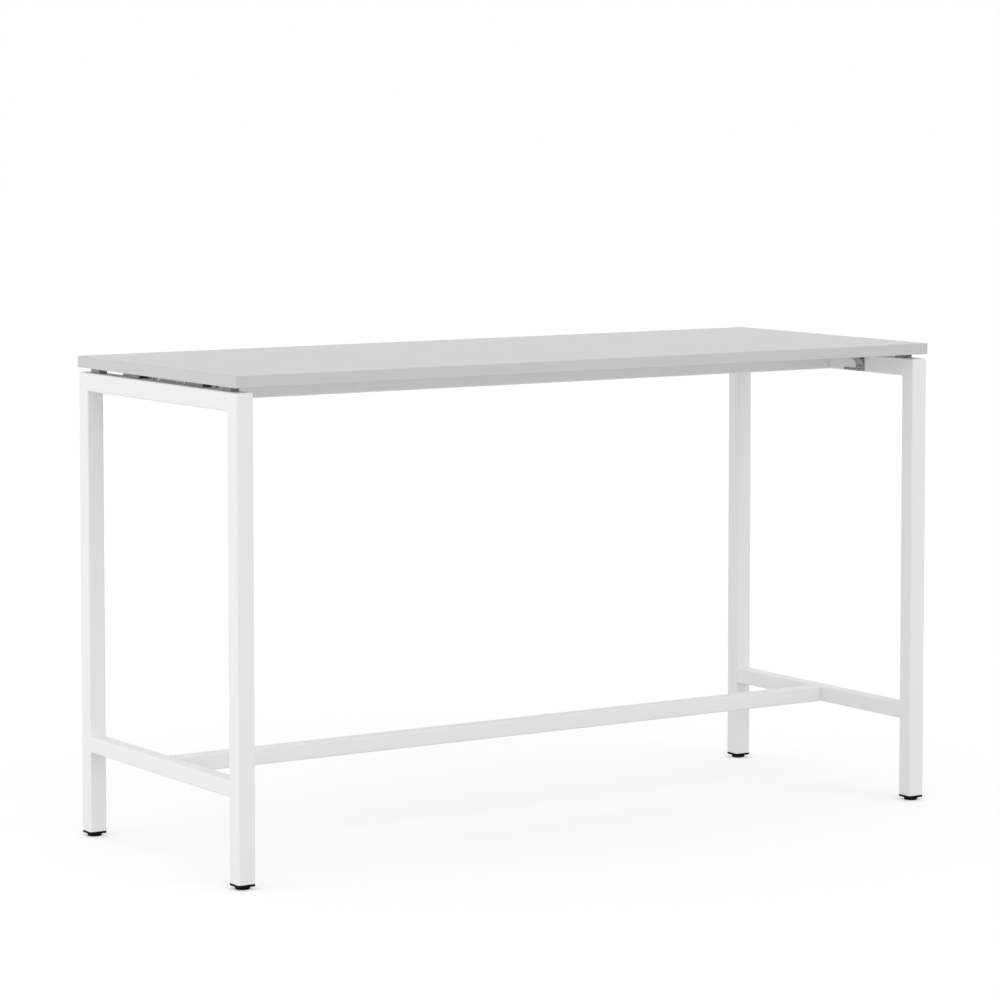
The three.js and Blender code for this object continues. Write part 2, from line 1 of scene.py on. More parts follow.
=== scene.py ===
"""Standing meeting table: tubes, edge bands, brackets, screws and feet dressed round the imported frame.

Metres. The origin is on the floor under the middle of the top: +X runs along the table's length,
-Y is its front and +Z is up.
"""

import math
from typing import NamedTuple

import bmesh
import bpy
import numpy as np
from bpy.props import FloatProperty, FloatVectorProperty, PointerProperty
from mathutils import Matrix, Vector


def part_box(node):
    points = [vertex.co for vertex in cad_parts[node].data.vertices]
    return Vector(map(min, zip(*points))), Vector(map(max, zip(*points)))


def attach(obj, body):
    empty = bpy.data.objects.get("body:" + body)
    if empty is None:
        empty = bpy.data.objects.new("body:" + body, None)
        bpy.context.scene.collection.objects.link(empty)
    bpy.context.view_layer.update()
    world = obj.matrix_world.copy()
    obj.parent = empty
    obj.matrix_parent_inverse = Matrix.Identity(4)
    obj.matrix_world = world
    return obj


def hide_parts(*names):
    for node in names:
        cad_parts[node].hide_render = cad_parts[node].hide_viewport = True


bl_info = {
    "name": "Standing meeting table",
    "version": (1, 0, 0),
    "blender": (4, 5, 0),
    "location": "View3D > Sidebar > Table",
    "description": "Dresses a standing-height meeting table with smooth pieces and finishes",
    "category": "Object",
}

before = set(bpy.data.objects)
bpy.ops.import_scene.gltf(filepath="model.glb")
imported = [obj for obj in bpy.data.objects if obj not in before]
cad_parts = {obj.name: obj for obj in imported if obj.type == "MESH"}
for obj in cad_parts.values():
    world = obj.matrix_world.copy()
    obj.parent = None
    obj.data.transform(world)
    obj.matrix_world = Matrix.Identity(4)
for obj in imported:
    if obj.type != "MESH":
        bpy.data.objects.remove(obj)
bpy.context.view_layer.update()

TABLE = "table"
ENDS = {"left": 1, "right": -1}
SIDES = ("front", "rear")
CORNERS = [(side, end) for end in ENDS for side in SIDES]

# Fineness of round shapes
CORNER_STEPS = 8
EDGE_STEPS = 4
CURVE_STEPS = 12
ROUND_POINTS = 96
SCREW_POINTS = 48
STATIONS_PER_TURN = 8
SHARP_ANGLE = math.radians(32)
MERGE_DISTANCE = 1e-7

# Span that most of Blender's noise lies in
NOISE_LOW = 0.3
NOISE_HIGH = 0.7

# Outlines are drawn in u and v and carried along t; the rows say where u, v and t point
UP = np.eye(3)
ALONG_X = np.array([[0.0, 1, 0], [0, 0, 1], [1, 0, 0]])
ALONG_Y = np.array([[0.0, 0, 1], [1, 0, 0], [0, 1, 0]])
OUTWARDS = {
    "left": np.array([[0.0, 1, 0], [0, 0, -1], [-1, 0, 0]]),
    "right": np.array([[0.0, 1, 0], [0, 0, 1], [1, 0, 0]]),
}


def length(name, description, default):
    """Size in metres."""
    return FloatProperty(name=name, description=description, default=default, unit="LENGTH", precision=5)


def degrees(name, description, default):
    """Angle, given in degrees and kept in radians."""
    return FloatProperty(name=name, description=description, default=math.radians(default), subtype="ANGLE")


def number(name, description, default, **kind):
    """Plain number, or one with the unit or subtype given."""
    return FloatProperty(name=name, description=description, default=default, **kind)


def vector(name, description, default, subtype):
    """Three numbers: a place or a colour."""
    return FloatVectorProperty(name=name, description=description, default=default, subtype=subtype, size=3)


def colour(name, description, default):
    """Colour, as red, green and blue."""
    return vector(name, description, default, "COLOR")


class TopSettings(bpy.types.PropertyGroup):
    """Edge bands of the table top"""

    edge_radius: length("Edge radius", "Rounding along a band's outer edges and corners", 0.0015)
    inner_radius: length("Inner radius", "Rounding along a band's glued edges", 0.0002)


class FrameSettings(bpy.types.PropertyGroup):
    """Tubes, beam and end plates"""

    frame_radius: length("Frame corner", "Corner radius of the leg and rail tube", 0.004)
    bar_radius: length("Bar corner", "Corner radius of the crossbar and stretcher tube", 0.0035)
    beam_radius: length("Beam corner", "Corner radius of the beam", 0.003)
    wall: length("Wall", "Wall of every tube", 0.002)
    seam_depth: length("Seam depth", "Depth of the painted-over mitre seam", 0.00012)
    seam_width: length("Seam width", "Half the width of the mitre seam", 0.0009)
    weld: length("Weld", "Radius of the fillet weld round a crossbar's ends", 0.0012)
    access_hole: length("Access hole", "Hole under a rail for the spacer screw", 0.013)
    beam_hole: length("Beam hole", "Hole under the beam for a bolt's head", 0.018)
    beam_hole_place: length("Beam hole place", "Distance of that hole from the beam's end", 0.014)
    plate_wing: length("Plate wing", "Height of the wings of a beam's end plate", 0.0159)
    plate_corner: length("Plate corner", "Corner radius of those wings", 0.001)
    plate_edge: length("Plate edge", "Edge rounding of a beam's end plate", 0.0003)


class FittingSettings(bpy.types.PropertyGroup):
    """Spacers, brackets and screws under the top"""

    spacer_corner: length("Spacer corner", "Corner radius of a spacer in plan", 0.0015)
    spacer_edge: length("Spacer edge", "Edge rounding of a spacer", 0.0006)
    sheet: length("Bracket sheet", "Thickness of a bracket", 0.0035)
    bracket_edge: length("Bracket edge", "Edge rounding of a bracket", 0.0005)
    bracket_lap: length("Bracket lap", "How far a bracket lies over its rail", 0.023)
    seat: length("Seat", "Gap between a bracket and its rail", 0.0001)
    web_drop: length("Web drop", "How far a bracket's web hangs below the rail's top", 0.009)
    rib_reach: length("Rib reach", "How far a bracket's rib stands out from the rail", 0.01)
    boss: length("Boss", "Width of the round boss round a bracket's top screw", 0.014)
    boss_height: length("Boss height", "Height of that boss under the cap", 0.003)
    strap_reach: length("Strap reach", "How far a bracket's strap stands out from the rail", 0.024)
    strap_length: length("Strap length", "Length of a bracket's strap along the rail", 0.028)
    strap_foot: length("Strap foot", "Height of the strap's straight foot", 0.014)
    strap_bend: length("Strap bend", "Height of the strap's bend above its foot", 0.009)
    strap_drop: length("Strap drop", "Height of the strap's straight end under the cap", 0.012)
    lip_height: length("Lip height", "Height of the lip along a bracket's foot", 0.005)
    slot_width: length("Slot width", "Width of the strap's slot", 0.0046)
    slot_length: length("Slot length", "Length of the strap's slot", 0.01)
    wood_pitch: length("Wood screw pitch", "Thread pitch of the screws into the board", 0.0022)
    metal_pitch: length("Machine screw pitch", "Thread pitch of the screws into steel", 0.001)
    thread_share: number("Thread depth", "Thread depth as a share of its pitch", 0.4, subtype="FACTOR")


class FootSettings(bpy.types.PropertyGroup):
    """Levelling feet"""

    thread_pitch: length("Stem pitch", "Thread pitch of the stem", 0.0015)
    thread_depth: length("Stem thread depth", "Thread depth of the stem", 0.0008)
    stem: length("Stem", "Radius of the stem", 0.005)
    stem_tip: length("Stem tip", "Chamfer at the stem's ends", 0.0006)
    collar: length("Collar", "Width across flats of the stem's collar", 0.013)
    collar_height: length("Collar height", "Height of the stem's collar", 0.0035)
    collar_gap: length("Collar gap", "Gap between the collar and the pad", 0.0001)
    socket: length("Socket", "Radius of the bore and the pad's socket", 0.0053)
    socket_floor: length("Socket floor", "Thickness of the pad under its socket", 0.002)
    recess: length("Recess", "Radius of the insert's recess for the collar", 0.0078)
    recess_height: length("Recess height", "Height of the insert's recess", 0.0039)
    flange: length("Flange", "Height of the insert's flange", 0.005)
    flange_edge: length("Flange edge", "Edge rounding of the flange", 0.0004)
    plug_gap: length("Plug gap", "How far the plug stands in from the flange", 0.0023)
    barb: length("Barb", "Depth of the grooves round the plug", 0.0008)
    pad_edge: length("Pad edge", "Edge rounding of the pad", 0.0012)


class FinishSettings(bpy.types.PropertyGroup):
    """Colours of the finishes"""

    laminate: colour("Laminate", "Matt pale grey laminate", (0.64, 0.64, 0.64))
    band: colour("Edge band", "Matt pale grey plastic", (0.613, 0.613, 0.613))
    white_coat: colour("White coat", "Satin white powder coat", (0.885, 0.885, 0.885))
    cast_grey: colour("Cast grey", "Grey cast metal", (0.3, 0.304, 0.31))
    grey_plastic: colour("Grey plastic", "Grey moulded plastic", (0.27, 0.274, 0.28))
    zinc: colour("Zinc", "Zinc-plated steel", (0.42, 0.427, 0.437))
    black_plastic: colour("Black plastic", "Black moulded plastic", (0.004, 0.004, 0.004))


class StageSettings(bpy.types.PropertyGroup):
    """Floor, light and camera"""

    camera_place: vector("Camera", "Place of the camera", (-4.553, -6.871, 1.619), "TRANSLATION")
    camera_yaw: degrees("Yaw", "Turn of the camera from +Y to +X", 33.330)
    camera_pitch: degrees("Pitch", "Tilt of the camera below level", 4.269)
    lens: number("Lens", "Focal length", 133.956, unit="CAMERA")
    shift: number("Shift", "Upward shift of the frame", -0.13)
    sky: number("Sky", "Strength of the light from all round", 0.9)
    front: number("Front", "Strength of the soft light in front", 0.32)
    front_tilt: degrees("Front tilt", "Angle of the front light from upright", 60)
    front_turn: degrees("Front turn", "Turn of the front light to the right", 9)
    softness: degrees("Softness", "Angle that the front light fills", 52)
    panel: number("Panel", "Power of the soft panel on the left", 21.3, unit="POWER")
    panel_place: vector("Panel place", "Place of that panel", (-3.9, 0.0, 0.45), "TRANSLATION")
    panel_size: length("Panel size", "Width and height of that panel", 1.6)
    floor_colour: colour("Floor", "Colour of the floor", (0.7, 0.7, 0.7))
    floor_lift: number("Floor lift", "Brightness added to the floor where the camera sees it", 0.355)
    floor_size: length("Floor size", "Radius of the floor", 40.0)
    floor_drop: length("Floor drop", "How far the floor lies under the pads", 0.0002)


# Outlines and surfaces


def rounded_outline(points, radius):
    """Closed outline with round corners, from corner points given counter-clockwise.

    Each corner gives way to an arc that touches both its sides: the arc starts before the corner by
    the radius times the tangent of half the turn, and sweeps the turn's angle. Returns the points and
    their outward directions, one row each.
    """
    corner = np.asarray(points, float)
    side = np.roll(corner, -1, 0) - corner
    after = side / np.linalg.norm(side, axis=1, keepdims=True)
    before = np.roll(after, 1, 0)
    sine = before[:, 0] * after[:, 1] - before[:, 1] * after[:, 0]
    turn = np.arctan2(sine, (before * after).sum(1))
    bend = np.broadcast_to(radius, turn.shape) * np.sign(turn)
    start = corner - before * (bend * np.tan(turn / 2))[:, None]
    outward = np.stack([before[:, 1], -before[:, 0]], 1)
    centre = start - outward * bend[:, None]
    angle = turn[:, None] * np.linspace(0.0, 1.0, CORNER_STEPS + 1)
    u = np.cos(angle) * outward[:, :1] - np.sin(angle) * outward[:, 1:]
    v = np.sin(angle) * outward[:, :1] + np.cos(angle) * outward[:, 1:]
    normal = np.stack([u, v], -1)
    places = centre[:, None] + normal * bend[:, None, None]
    return places.reshape(-1, 2), normal.reshape(-1, 2)


def rectangle(width, height, radius):
    """Rounded rectangle centred on u = v = 0, with one radius or one for each corner."""
    u, v = width / 2, height / 2
    return rounded_outline([(u, -v), (u, v), (-u, v), (-u, -v)], radius)


def drawn_outline(points):
    """Closed outline through points given counter-clockwise. A point's outward direction is square
    to the line between its two neighbours."""
    places = np.asarray(points, float)
    chord = np.roll(places, -1, 0) - np.roll(places, 1, 0)
    chord /= np.linalg.norm(chord, axis=1, keepdims=True)
    return places, np.stack([chord[:, 1], -chord[:, 0]], 1)


def bent(start, pull, end):
    """Points on the curve from start to end that leaves towards pull and arrives from it: the two
    blends along its sides, blended again."""
    t = np.linspace(0.0, 1.0, CURVE_STEPS + 1)[:, None]
    start, pull, end = (np.asarray(point, float) for point in (start, pull, end))
    return (1 - t) ** 2 * start + 2 * t * (1 - t) * pull + t**2 * end


def turns(count):
    """Evenly spaced angles of one full turn."""
    return np.linspace(0.0, 2 * math.pi, count, endpoint=False)


def carried(outline, normal, offsets, levels):
    """Outline carried along t: a loop for each level, moved outwards by that level's offset."""
    flat = outline + normal * np.asarray(offsets, float)[:, None, None]
    along = np.asarray(levels, float).reshape(len(flat), -1, 1)
    return np.concatenate([flat, np.broadcast_to(along, flat.shape[:2] + (1,))], -1)


def edge_round(radius, steps=EDGE_STEPS):
    """Offsets and rises of a rounded edge: a quarter circle from the end face to the side."""
    angle = np.linspace(0.0, math.pi / 2, steps + 1)
    return radius * (np.sin(angle) - 1), radius * (1 - np.cos(angle))


def soft_prism(outline, normal, low, high, edge):
    """Prism between two levels, pulled in at both ends along a quarter circle."""
    inset, rise = edge_round(edge)
    offsets = np.concatenate([inset, inset[::-1]])
    levels = np.concatenate([low + rise, high - rise[::-1]])
    return carried(outline, normal, offsets, levels)


def hollow(outline, normal, wall, offsets, levels):
    """Tube as one ring of loops: out along its outside and back along its inside."""
    outer = carried(outline, normal, offsets, levels)
    inner = carried(outline, normal, np.full(len(outer), -wall), levels)
    return np.concatenate([outer, inner[::-1]])


def polar(reach, levels, count=SCREW_POINTS):
    """Loops about t: a radius and a level for each loop, and where given for each angle too."""
    angle = turns(count)
    rows = len(reach)
    reach = np.broadcast_to(np.asarray(reach, float).reshape(rows, -1), (rows, count))
    level = np.broadcast_to(np.asarray(levels, float).reshape(rows, -1), (rows, count))
    return np.stack([reach * np.cos(angle), reach * np.sin(angle), level], -1)


def hexagon_share(angle):
    """Radius of a hexagon over half its width across flats: one over the cosine of the angle from
    the middle of the nearest flat."""
    sixth = math.pi / 3
    return 1 / np.cos((angle + sixth / 2) % sixth - sixth / 2)


def cross_share(angle, narrow):
    """Radius of a cross over the length of its arms: up to the arm's end or its side, whichever is
    nearer, where narrow is half the arm's width over its length."""
    quarter = math.pi / 2
    turn = np.abs((angle + quarter / 2) % quarter - quarter / 2)
    return np.minimum(1 / np.cos(turn), narrow / np.maximum(np.sin(turn), narrow / 2))


def threaded(radius, depth, pitch, low, high):
    """Threaded rod: the radius dips by a triangle wave of the height over the pitch less the angle
    over a full turn, which makes a right-hand helix, and the dip fades out at both ends."""
    steps = max(round((high - low) / pitch * STATIONS_PER_TURN), 2)
    level = np.linspace(low, high, steps + 1)[:, None]
    phase = (level / pitch - turns(SCREW_POINTS) / (2 * math.pi)) % 1.0
    fade = np.clip(np.minimum(level - low, high - level) / pitch, 0.0, 1.0)
    return polar(radius - depth * fade * (1 - np.abs(2 * phase - 1)), level)


def placed(loops, axes, origin):
    """Loops drawn in u, v and t, set at an origin with its axes."""
    return loops @ axes + np.asarray(origin, float)


def skin(loops, ring=False):
    """Points and faces over a stack of closed loops. Neighbouring loops are joined by quads; the first
    and the last are closed by a face each, or joined to each other in a ring. The faces are turned
    round if the volume that they enclose comes out negative."""
    rows, columns = loops.shape[:2]
    row = np.arange(rows if ring else rows - 1)[:, None] * columns
    column = np.arange(columns)[None, :]
    beside = (column + 1) % columns
    above = (row + columns) % (rows * columns)
    quads = np.stack([row + column, row + beside, above + beside, above + column], -1).reshape(-1, 4)
    points = loops.reshape(-1, 3)
    centred = points - points.mean(0)
    corner = centred[quads]
    volume = (corner[:, 0] * np.cross(corner[:, 1], corner[:, 2])).sum()
    volume += (corner[:, 0] * np.cross(corner[:, 2], corner[:, 3])).sum()
    faces = quads.tolist()
    if not ring:
        last = np.arange(columns) + (rows - 1) * columns
        for cap in (np.arange(columns)[::-1], last):
            edge = centred[cap]
            volume += (np.cross(edge[1:-1], edge[2:]) @ edge[0]).sum()
            faces.append(cap.tolist())
    if volume < 0:
        faces = [face[::-1] for face in faces]
    return points, faces


# Pieces


def linked(name, points, faces):
    """New object in the scene, from a mesh with coinciding points merged and empty faces removed."""
    mesh = bpy.data.meshes.new(name)
    mesh.from_pydata(points, [], faces)
    work = bmesh.new()
    work.from_mesh(mesh)
    bmesh.ops.remove_doubles(work, verts=work.verts, dist=MERGE_DISTANCE)
    bmesh.ops.dissolve_degenerate(work, edges=work.edges, dist=MERGE_DISTANCE)
    work.to_mesh(mesh)
    work.free()
    made = bpy.data.objects.new(name, mesh)
    bpy.context.scene.collection.objects.link(made)
    return made


def combined(made, skins, operation):
    """Joins skins to a piece, or cuts them out of it, and keeps the result as its mesh."""
    tools = [linked("tool", *tool) for tool in skins]
    for tool in tools:
        step = made.modifiers.new("step", "BOOLEAN")
        step.operation = operation
        step.solver = "EXACT"
        step.object = tool
    bpy.context.view_layer.update()
    graph = bpy.context.evaluated_depsgraph_get()
    made.data = bpy.data.meshes.new_from_object(made.evaluated_get(graph))
    made.modifiers.clear()
    for tool in tools:
        bpy.data.objects.remove(tool)


def finish_name(slot):
    """Name of a slot's finish, unlike that of the frame's plain material."""
    return f"{slot}_finish"


def paint(mesh, slot):
    """Gives a mesh a slot's finish in place of any other material."""
    mesh.materials.clear()
    mesh.materials.append(bpy.data.materials[finish_name(slot)])


def dressed(made, slot, nodes, body=TABLE):
    """Gives a piece its finish and shading, ties it to its body and hides the nodes it stands for."""
    mesh = made.data
    paint(mesh, slot)
    mesh.shade_smooth()
    mesh.set_sharp_from_angle(angle=SHARP_ANGLE)
    even = made.modifiers.new("even_shading", "WEIGHTED_NORMAL")
    even.keep_sharp = True
    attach(made, body)
    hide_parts(*nodes)


def piece(name, slot, nodes, loops, ring=False, body=TABLE):
    """Piece from one stack or ring of loops."""
    dressed(linked(name, *skin(loops, ring)), slot, nodes, body)


def repaint(slot, *nodes):
    """Gives frame nodes that stay in view a better finish."""
    for node in nodes:
        paint(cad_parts[node].data, slot)


def span(node):
    """Lowest and highest corners of a frame node."""
    low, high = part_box(node)
    return np.array(low), np.array(high)


def middle(node):
    """Middle of a frame node's box."""
    low, high = span(node)
    return (low + high) / 2


# Finishes


class Finish:
    """Node graph of one finish, on Object coordinates"""

    def __init__(self, slot, metallic=0.0, specular=0.5):
        material = bpy.data.materials.new(finish_name(slot))
        material.use_nodes = True
        self.tree = material.node_tree
        self.shader = self.tree.nodes["Principled BSDF"]
        self.shader.inputs["Metallic"].default_value = metallic
        self.shader.inputs["Specular IOR Level"].default_value = specular
        self.place = self.tree.nodes.new("ShaderNodeTexCoord").outputs["Object"]

    def node(self, kind, **values):
        """Node of a kind, with the values of its sockets by name."""
        made = self.tree.nodes.new(kind)
        for name, value in values.items():
            made.inputs[name.replace("_", " ").title()].default_value = value
        return made

    def link(self, source, target):
        self.tree.links.new(source, target)

    def noise(self, size, detail=2.0, stretch=(1.0, 1.0, 1.0)):
        """Noise whose lumps are about this size in metres, drawn out along each axis."""
        mapping = self.node("ShaderNodeMapping", scale=[1 / factor for factor in stretch])
        self.link(self.place, mapping.inputs["Vector"])
        grain = self.node("ShaderNodeTexNoise", scale=1 / size, detail=detail)
        self.link(mapping.outputs["Vector"], grain.inputs["Vector"])
        return grain.outputs["Fac"]

    def spread(self, source, low, high):
        """Noise from its usual span to the two values given."""
        ends = {"from_min": NOISE_LOW, "from_max": NOISE_HIGH, "to_min": low, "to_max": high}
        span_out = self.node("ShaderNodeMapRange", **ends)
        self.link(source, span_out.inputs["Value"])
        return span_out.outputs["Result"]

    def mottle(self, source, base, swing):
        """Colour that swings about its base by the share given."""
        mix = self.tree.nodes.new("ShaderNodeMix")
        mix.data_type = "RGBA"
        dark, light = [plug for plug in mix.inputs if plug.type == "RGBA"]
        dark.default_value = (*[channel * (1 - swing) for channel in base], 1.0)
        light.default_value = (*[channel * (1 + swing) for channel in base], 1.0)
        self.link(self.spread(source, 0.0, 1.0), mix.inputs[0])
        mixed = next(plug for plug in mix.outputs if plug.type == "RGBA")
        self.link(mixed, self.shader.inputs["Base Color"])

    def rough(self, source, low, high):
        """Roughness that varies between two values."""
        self.link(self.spread(source, low, high), self.shader.inputs["Roughness"])

    def bump(self, source, strength, height):
        """Relief of a height in metres."""
        relief = self.node("ShaderNodeBump", strength=strength, distance=height)
        self.link(source, relief.inputs["Height"])
        self.link(relief.outputs["Normal"], self.shader.inputs["Normal"])


def laminate_finish(base):
    """Matt laminate: pearl grain of about a millimetre, with faint clouds in its gloss."""
    made = Finish("laminate", specular=0.35)
    grain = made.noise(size=0.0012, detail=3.0)
    made.mottle(grain, base, swing=0.018)
    made.rough(made.noise(size=0.06), low=0.53, high=0.57)
    made.bump(grain, strength=0.2, height=0.00004)


def band_finish(base):
    """Plastic edge band: fine streaks along the edge, left by the roller."""
    made = Finish("edge_band", specular=0.35)
    streak = made.noise(size=0.0009, stretch=(30.0, 30.0, 1.0))
    made.mottle(streak, base, swing=0.014)
    made.rough(made.noise(size=0.004), low=0.45, high=0.56)
    made.bump(streak, strength=0.15, height=0.00003)


def coat_finish(base):
    """Powder coat: orange peel of about two millimetres and a fine speckle."""
    made = Finish("white_coat", specular=0.12)
    made.mottle(made.noise(size=0.0007), base, swing=0.01)
    made.rough(made.noise(size=0.012), low=0.46, high=0.56)
    made.bump(made.noise(size=0.0022, detail=1.5), strength=0.12, height=0.00006)


def cast_finish(base):
    """Cast metal: sandy skin with dull and bright specks."""
    made = Finish("cast_grey", metallic=0.4)
    sand = made.noise(size=0.0006, detail=4.0)
    made.mottle(sand, base, swing=0.16)
    made.rough(made.noise(size=0.003, detail=3.0), low=0.42, high=0.6)
    made.bump(sand, strength=0.35, height=0.0001)


def plastic_finish(slot, base, swing, specular):
    """Moulded plastic: fine spark-eroded grain."""
    made = Finish(slot, specular=specular)
    grain = made.noise(size=0.0005, detail=3.0)
    made.mottle(grain, base, swing)
    made.rough(made.noise(size=0.002), low=0.45, high=0.62)
    made.bump(grain, strength=0.25, height=0.00006)


def zinc_finish(base):
    """Zinc plating: cloudy gloss with fine turning marks."""
    made = Finish("zinc", metallic=1.0)
    cloud = made.noise(size=0.003, detail=4.0)
    made.mottle(cloud, base, swing=0.1)
    made.rough(cloud, low=0.32, high=0.5)
    made.bump(made.noise(size=0.0004), strength=0.1, height=0.00003)


class MakeFinishes(bpy.types.Operator):
    """Make the table's finishes"""

    bl_idname = "meeting_table.finishes"
    bl_label = "Finishes"

    def execute(self, context):
        colours = context.scene.table_finishes
        laminate_finish(colours.laminate)
        band_finish(colours.band)
        coat_finish(colours.white_coat)
        cast_finish(colours.cast_grey)
        plastic_finish("grey_plastic", colours.grey_plastic, swing=0.1, specular=0.4)
        plastic_finish("black_plastic", colours.black_plastic, swing=0.3, specular=0.06)
        zinc_finish(colours.zinc)
        return {"FINISHED"}


# Top


def long_band(low, high, radius):
    """Band along the front or rear edge, with its ends rounded in plan.

    Its outer side is a plan line with round corners, carried through a height profile that is pulled
    in by a quarter circle at the top and bottom: a core point plus the plan direction times the
    profile's offset. Its inner side is a plane.
    """
    facing = np.sign(low[1] + high[1])
    outer, inner = (high[1], low[1]) if facing > 0 else (low[1], high[1])
    quarter = np.linspace(0.0, math.pi / 2, CORNER_STEPS + 1)
    angle = np.concatenate([quarter[-1:], quarter[::-1], quarter, quarter[-1:]])
    end = np.repeat([-1.0, 1.0], CORNER_STEPS + 2)
    core = np.where(end < 0, low[0] + radius, high[0] - radius)
    core = np.stack([core, np.full(len(end), outer - facing * radius)], 1)
    core[[0, -1], 1] = inner
    direction = np.stack([end * np.sin(angle), facing * np.cos(angle)], 1)
    inset, rise = edge_round(radius, CORNER_STEPS)
    offset = np.concatenate([inset, inset[::-1]]) + radius
    level = np.concatenate([low[2] + rise, high[2] - rise[::-1]])
    plan = core[:, None] + direction[:, None] * offset[:, None]
    front = np.concatenate([plan, np.broadcast_to(level[:, None], plan.shape[:2] + (1,))], -1)
    back = np.array([[(x, inner, z) for z in (low[2], high[2])] for x in core[:, 0]])
    return np.concatenate([back[:, :1], front, back[:, 1:]], 1)


class MakeTop(bpy.types.Operator):
    """Make the edge bands and finish the board"""

    bl_idname = "meeting_table.top"
    bl_label = "Top"

    def execute(self, context):
        sizes = context.scene.table_top
        for side in SIDES:
            node = f"edge_band_{side}"
            piece(f"band_{side}", "edge_band", [node], long_band(*span(node), sizes.edge_radius))
        for end, inwards in ENDS.items():
            node = f"edge_band_{end}"
            low, high = span(node)
            near, far = (sizes.edge_radius, sizes.inner_radius)[::inwards]
            outline, normal = rectangle(high[2] - low[2], high[0] - low[0], [near, far, far, near])
            loops = carried(outline, normal, [0.0, 0.0], [low[1], high[1]])
            piece(f"band_{end}", "edge_band", [node], placed(loops, ALONG_Y, middle(node) * (1, 0, 1)))
        repaint("laminate", "top_panel")
        return {"FINISHED"}


# Frames, bars and beam


def end_frame(end, sizes):
    """Two legs and a rail as one welded tube, in the plane of the end.

    A rounded square is carried up the front leg, along the rail and down the rear leg. At each corner
    it lies in the mitre's plane, where its reach from the path is stretched along the diagonal, with
    a shallow seam between two loops that are parallel to it.
    """
    low, high = span(f"leg_front_{end}")
    rear_low, rear_high = span(f"leg_rear_{end}")
    x, front, _ = (low + high) / 2
    rear = (rear_low[1] + rear_high[1]) / 2
    top = middle(f"top_rail_{end}")[2]
    width = high[0] - low[0]
    outline, normal = rectangle(width, width, sizes.frame_radius)
    up, back = np.array([0.0, 0, 1]), np.array([0.0, 1, 0])

    def loop(place, outward, offset, slide=0.0):
        flat = outline + normal * offset
        points = np.asarray(place) + slide + flat[:, 1:] * outward
        points[:, 0] += flat[:, 0]
        return points

    def wall(offset, seam):
        loops = [loop((x, front, low[2]), -back, offset)]
        for y, before, after, outward in ((front, up, back, up - back), (rear, back, -up, up + back)):
            place = (x, y, top)
            loops.append(loop(place, outward, offset, -before * sizes.seam_width))
            loops.append(loop(place, outward, offset - seam))
            loops.append(loop(place, outward, offset, after * sizes.seam_width))
        loops.append(loop((x, rear, rear_low[2]), back, offset))
        return np.stack(loops)

    return np.concatenate([wall(0.0, sizes.seam_depth), wall(-sizes.wall, 0.0)[::-1]])


def drilled(made, width, under, wall, places):
    """Cuts round holes up through the lower wall of a tube, from a level under it."""
    hole = polar([width / 2] * 2, [under - wall, under + 2 * wall])
    combined(made, [skin(placed(hole, UP, place)) for place in places], "DIFFERENCE")


class MakeEndFrames(bpy.types.Operator):
    """Make the two welded end frames, with the access holes under their rails"""

    bl_idname = "meeting_table.end_frames"
    bl_label = "End frames"

    def execute(self, context):
        sizes = context.scene.table_frame
        for end in ENDS:
            made = linked(f"end_frame_{end}", *skin(end_frame(end, sizes), ring=True))
            under = span(f"top_rail_{end}")[0][2]
            places = [middle(f"top_spacer_{side}_{end}") * (1, 1, 0) for side in SIDES]
            drilled(made, sizes.access_hole, under, sizes.wall, places)
            dressed(made, "white_coat", [f"leg_front_{end}", f"leg_rear_{end}", f"top_rail_{end}"])
        return {"FINISHED"}


def crossbar(end, sizes):
    """Tube between two legs, whose ends flare by a concave quarter circle of weld and follow the legs'
    round corners: past a leg's flat, an end reaches on by the fall of the corner's circle."""
    low, high = span(f"crossbar_{end}")
    leg_low, leg_high = span(f"leg_front_{end}")
    reach = -leg_high[1]
    outline, normal = rectangle(high[2] - low[2], high[0] - low[0], sizes.bar_radius)
    inset, rise = edge_round(sizes.weld)
    offsets = np.concatenate([-inset, -inset[::-1]])
    levels = np.concatenate([rise - reach, reach - rise[::-1]])[:, None]
    across = np.abs(outline[:, 1] + normal[:, 1] * offsets[:, None])
    flat = (leg_high[0] - leg_low[0]) / 2 - sizes.frame_radius
    past = np.clip(across - flat, 0.0, sizes.frame_radius)
    fall = sizes.frame_radius - np.sqrt(sizes.frame_radius**2 - past**2)
    return hollow(outline, normal, sizes.wall, offsets, levels + np.sign(levels) * fall)


def long_tube(node, radius, wall, ends):
    """Tube along the table between two places in x, as wide and as high as a frame node."""
    low, high = span(node)
    outline, normal = rectangle(high[1] - low[1], high[2] - low[2], radius)
    loops = hollow(outline, normal, wall, [0.0, 0.0], ends)
    return placed(loops, ALONG_X, middle(node) * (0, 1, 1))


class MakeBars(bpy.types.Operator):
    """Make the crossbars and the stretcher"""

    bl_idname = "meeting_table.bars"
    bl_label = "Bars"

    def execute(self, context):
        sizes = context.scene.table_frame
        for end in ENDS:
            node = f"crossbar_{end}"
            loops = placed(crossbar(end, sizes), ALONG_Y, middle(node) * (1, 0, 1))
            piece(f"cross_tube_{end}", "white_coat", [node], loops, ring=True)
        low, high = span("stretcher")
        loops = long_tube("stretcher", sizes.bar_radius, sizes.wall, [low[0], high[0]])
        piece("stretcher_tube", "white_coat", ["stretcher"], loops, ring=True)
        repaint("white_coat", *[f"stretcher_stub_{end}" for end in ENDS])
        return {"FINISHED"}


